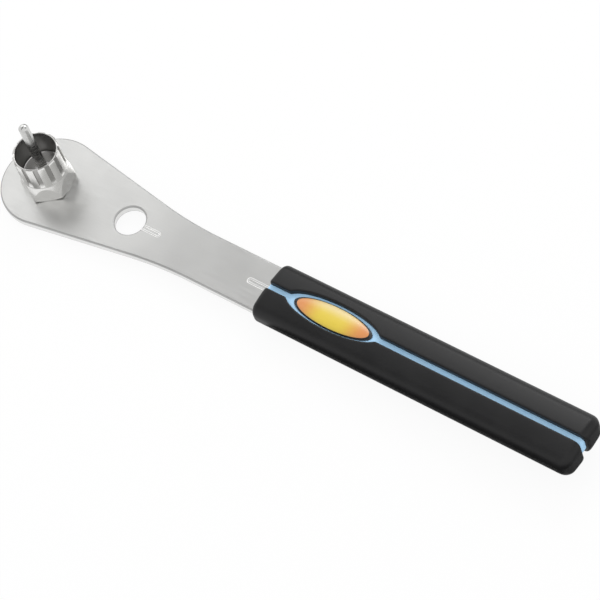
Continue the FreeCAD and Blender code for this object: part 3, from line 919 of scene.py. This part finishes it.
def brightPlating():
    # the bore's wall is turned and rougher, with painted shade that makes it dark; painted shade
    # makes the grooves darker than the ridges
    material, tree, shader, place = newFinish("brightPlating", Metallic=1.0)
    x, y, z = addNode(tree, "ShaderNodeSeparateXYZ", {"Vector": place}).outputs
    squares = [maths(tree, "MULTIPLY", part, part) for part in (x, y)]
    across = maths(tree, "SQRT", maths(tree, "ADD", *squares))
    boreWall = (socket["boreRadius"] + plating["wallMargin"]) * mm
    boreFloor = (socket["height"] - socket["boreDepth"] + plating["floorMargin"]) * mm
    within = maths(tree, "LESS_THAN", across, boreWall)
    # the bore's wall above its floor, for its extra roughness and its painted shade
    bore = maths(tree, "MULTIPLY", within, maths(tree, "GREATER_THAN", z, boreFloor))
    low = (socket["barrelRadius"] - socket["grooveDepth"]) * mm
    high = (socket["barrelRadius"] - plating["ridgeMargin"]) * mm
    recess = spread(tree, across, low, high, 1.0, 0.0)
    barrel = maths(tree, "GREATER_THAN", z, socket["grooveFoot"] * mm)
    outside = maths(tree, "SUBTRACT", 1.0, within)
    # painted shade: the recess of each groove along the barrel, outside the bore
    groove = maths(tree, "MULTIPLY", maths(tree, "MULTIPLY", recess, barrel), outside)
    plated = fromNoise(tree, noise(tree, place, 300.0, detail=3.0), *plating["rough"])
    rougher = maths(tree, "MULTIPLY", bore, plating["boreRougher"])
    # painted shade darkens the grooves, then the bore's wall
    colour = blendColours(tree, groove, plating["ridge"], plating["groove"])
    colour = blendColours(tree, bore, colour, plating["bore"])
    feed(tree, shader, Base_Color=colour, Roughness=maths(tree, "ADD", plated, rougher))
    turned = noise(tree, scaled(tree, place, (80, 80, 4000)), 1.0)
    addBump(tree, shader, turned, strength=0.12, distance=0.00002)
    return material


def groundSteel():
    material, tree, shader, place = newFinish("groundSteel", Metallic=1.0)
    rings = noise(tree, scaled(tree, place, (200, 200, 5000)), 1.0)
    setLook(tree, shader, "groundSteel", noise(tree, place, 250.0), rings)
    addBump(tree, shader, rings, strength=0.06, distance=0.00002)
    return material


def blueMoulding():
    material, tree, shader, place = newFinish("blueMoulding", Specular_IOR_Level=0.45)
    cloud = noise(tree, place, 120.0, detail=3.0)
    setLook(tree, shader, "blueMoulding", cloud, noise(tree, place, 700.0))
    addBump(tree, shader, noise(tree, place, 2500.0), strength=0.15, distance=0.00004)
    return material


def softRubber():
    material, tree, shader, place = newFinish("softRubber", Specular_IOR_Level=0.34)
    cloud = noise(tree, place, 60.0, detail=3.0)
    setLook(tree, shader, "softRubber", cloud, cloud)
    addBump(tree, shader, noise(tree, place, 2600.0), strength=0.3, distance=0.00006)
    return material


def blackFilm():
    fixed = {"Base_Color": badge["black"], "Coat_Weight": 0.4}
    material, tree, shader, place = newFinish("blackFilm", **fixed)
    feed(tree, shader, Roughness=fromNoise(tree, noise(tree, place, 500.0), 0.18, 0.3))
    return material


def resinDome():
    # yellow in the middle, orange toward both ends, a painted highlight paler on one side, black at
    # the rim
    fixed = {"Roughness": 0.35, "Coat_Weight": 0.35, "Coat_Roughness": 0.2}
    material, tree, shader, place = newFinish("resinDome", **fixed)
    b = badge
    long, wide = b["domeLong"] - b["border"], b["domeWide"] - b["border"]
    unit = (1 / (long * mm), 1 / (wide * mm), 0)
    centred = scaled(tree, place, unit, (-b["x"] / long, 0, 0))
    split = addNode(tree, "ShaderNodeSeparateXYZ", {"Vector": centred}).outputs
    along = maths(tree, "ABSOLUTE", split[0])
    reach = addNode(tree, "ShaderNodeVectorMath", {0: centred}, operation="LENGTH")
    ends = spread(tree, along, 0.25, 0.88, 0.0, 1.0)
    # painted highlight, paler toward the upper side and in the middle
    side = spread(tree, split[1], -0.1, 0.9, 0.0, 0.75)
    middle = spread(tree, along, 0.25, 1.0, 1.0, 0.25)
    rim = spread(tree, reach.outputs["Value"], 0.995, 1.005, 0.0, 1.0)
    colour = blendColours(tree, ends, b["yellow"], b["orange"])
    colour = blendColours(tree, maths(tree, "MULTIPLY", side, middle), colour, b["paleHighlight"])
    feed(tree, shader, Base_Color=blendColours(tree, rim, colour, b["black"]))
    return material


# the plate's satin steel, its edges in painted shade, its walls in painted light, and the marks
steels = [satinSteel(name) for name in ("satinSteel", "edgeShadedSteel", "wallLitSteel", "markSteel")]
leverPlate = makeLever(*steels)
attach(leverPlate, "root", "lever_steel", "lever_plate")
print("lever made")
splinedSocket = makeSocket(brightPlating())
attach(splinedSocket, "root", "socket_chrome", "splined_socket")
guidePin = makePin(groundSteel())
attach(guidePin, "root", "pin_steel", "guide_pin")
print("socket and pin made")
rubber = softRubber()
gripCore = makeCore(blueMoulding())
attach(gripCore, "root", "core_plastic", "grip_core")
lobeLeft = makeLobe("lobeLeft", 1, rubber)
attach(lobeLeft, "root", "lobe_rubber", "grip_lobe_left")
lobeRight = makeLobe("lobeRight", -1, rubber)
attach(lobeRight, "root", "lobe_rubber", "grip_lobe_right")
print("grip made")
attach(makeBacking(blackFilm()), "root", "backing_film", "badge_backing")
attach(makeDome(resinDome()), "root", "dome_resin", "badge_dome")
print("badge made")


# Stage: pale floor that the tool rests on, soft lights and a white surround

stage = {
    "floorSize": 6.0,
    "floorShow": 0.92,
    "floorGap": 0.0001,
    "headTouch": (-25.0, -4.0),
    "gripTouch": (137.0, -9.8),
    "surround": 1.0,
    "keyPlace": (-0.9, 0.52, 0.9),
    "keySize": 1.0,
    "keyPower": 2.0,
    "sidePlace": (-0.1, 1.0, 0.9),
    "sideSize": 0.6,
    "sidePower": 4.2,
    "fillPlace": (0.25, -0.8, 1.25),
    "fillSize": 0.5,
    "fillPower": 0.35,
    "aim": (0.12, 0.0, 0.0),
    # each flag has a place, a size, a lean in degrees and a shade
    "flags": (((-0.3, -0.49, 1.0), (0.44, 1.66), 0, 0.08),
              ((0.66, 0.62, 0.95), (0.56, 0.56), 0, 0.16),
              ((0.62, -0.38, 1.1), (0.2, 0.2), 0, 0.16),
              ((-0.3, 0.6, 0.13), (0.56, 0.26), 90, 0.12),
              ((-0.075, 0.13, 0.3), (0.08, 0.12), 0, 0.2),
              ((0.285, -0.2, -0.009), (0.29, 0.367), 0, 0.06),
              ((0.345, 0.01, -0.0155), (0.066, 0.09), 0, 0.3)),
    "flagMottle": 1.2,
}


def showWhite(tree, lit, share):
    # camera, mirror and glass rays see plain white for this share
    path = addNode(tree, "ShaderNodeLightPath").outputs
    seen = maths(tree, "MAXIMUM", path["Is Camera Ray"], path["Is Glossy Ray"])
    seen = maths(tree, "MAXIMUM", seen, path["Is Transmission Ray"])
    plain = {"Color": (1, 1, 1, 1), "Strength": 1.0}
    white = addNode(tree, "ShaderNodeEmission", plain).outputs[0]
    inputs = {0: maths(tree, "MULTIPLY", seen, share), 1: lit, 2: white}
    return addNode(tree, "ShaderNodeMixShader", inputs).outputs[0]


def makeFloor():
    (headX, headZ), (gripX, gripZ) = stage["headTouch"], stage["gripTouch"]
    slope = (gripZ - headZ) / (gripX - headX)
    half = stage["floorSize"] / 2

    def height(x):
        return (headZ + slope * (x / mm - headX)) * mm - stage["floorGap"]

    outline = ((-half, -half), (half, -half), (half, half), (-half, half))
    corners = [(x, y, height(x)) for x, y in outline]
    mesh = bpy.data.meshes.new("floor")
    mesh.from_pydata(corners, [], [(0, 1, 2, 3)])
    fixed = {"Roughness": 0.9, "Specular_IOR_Level": 0.1}
    material, tree, shader, place = newFinish("paleFloor", **fixed)
    tones = (0.80, 0.80, 0.80, 1), (0.83, 0.83, 0.83, 1)
    feed(tree, shader, Base_Color=blendColours(tree, noise(tree, place, 3.0), *tones))
    surface = showWhite(tree, shader.outputs[0], stage["floorShow"])
    tree.links.new(surface, tree.nodes["Material Output"].inputs["Surface"])
    floor = newObject("floor", mesh, material)


def addFlag(name, place, size, lean, shade):
    # dark card that only mirror rays meet, for contrast in the metal
    wide, long = (side / 2 for side in size)
    mesh = bpy.data.meshes.new(name)
    corners = [(-wide, -long, 0), (wide, -long, 0), (wide, long, 0), (-wide, long, 0)]
    mesh.from_pydata(corners, [], [(0, 1, 2, 3)])
    fixed = {"Roughness": 1.0, "Specular_IOR_Level": 0.0}
    material, tree, shader, cardPlace = newFinish(name, **fixed)
    tones = [(grey, grey, grey, 1) for grey in (shade, shade * stage["flagMottle"])]
    feed(tree, shader, Base_Color=blendColours(tree, noise(tree, cardPlace, 4.0), *tones))
    card = newObject(name, mesh, material)
    card.location = place
    card.rotation_euler.x = math.radians(lean)
    card.visible_camera = False
    card.visible_diffuse = False
    card.visible_shadow = False
    card.visible_transmission = False


def addLamp(name, place, size, power):
    data = bpy.data.lights.new(name, "AREA")
    data.shape = "DISK"
    data.size = size
    data.energy = power
    lamp = bpy.data.objects.new(name, data)
    lamp.location = place
    lamp.rotation_mode = "QUATERNION"
    lamp.rotation_quaternion = (Vector(stage["aim"]) - Vector(place)).to_track_quat("-Z", "Y")
    bpy.context.scene.collection.objects.link(lamp)


world = bpy.data.worlds.new("surround")
world.use_nodes = True
bpy.context.scene.world = world
background = world.node_tree.nodes["Background"]
background.inputs["Color"].default_value = (1, 1, 1, 1)
background.inputs["Strength"].default_value = stage["surround"]
worldSurface = showWhite(world.node_tree, background.outputs[0], 1.0)
world.node_tree.links.new(worldSurface, world.node_tree.nodes["World Output"].inputs["Surface"])
makeFloor()
for lampName in ("key", "side", "fill"):
    place, size, power = (stage[lampName + value] for value in ("Place", "Size", "Power"))
    addLamp(lampName + "Lamp", place, size, power)
for flagNumber, flag in enumerate(stage["flags"]):
    addFlag("flag%d" % flagNumber, *flag)
bpy.context.scene.view_settings.view_transform = "Standard"
print("stage made")
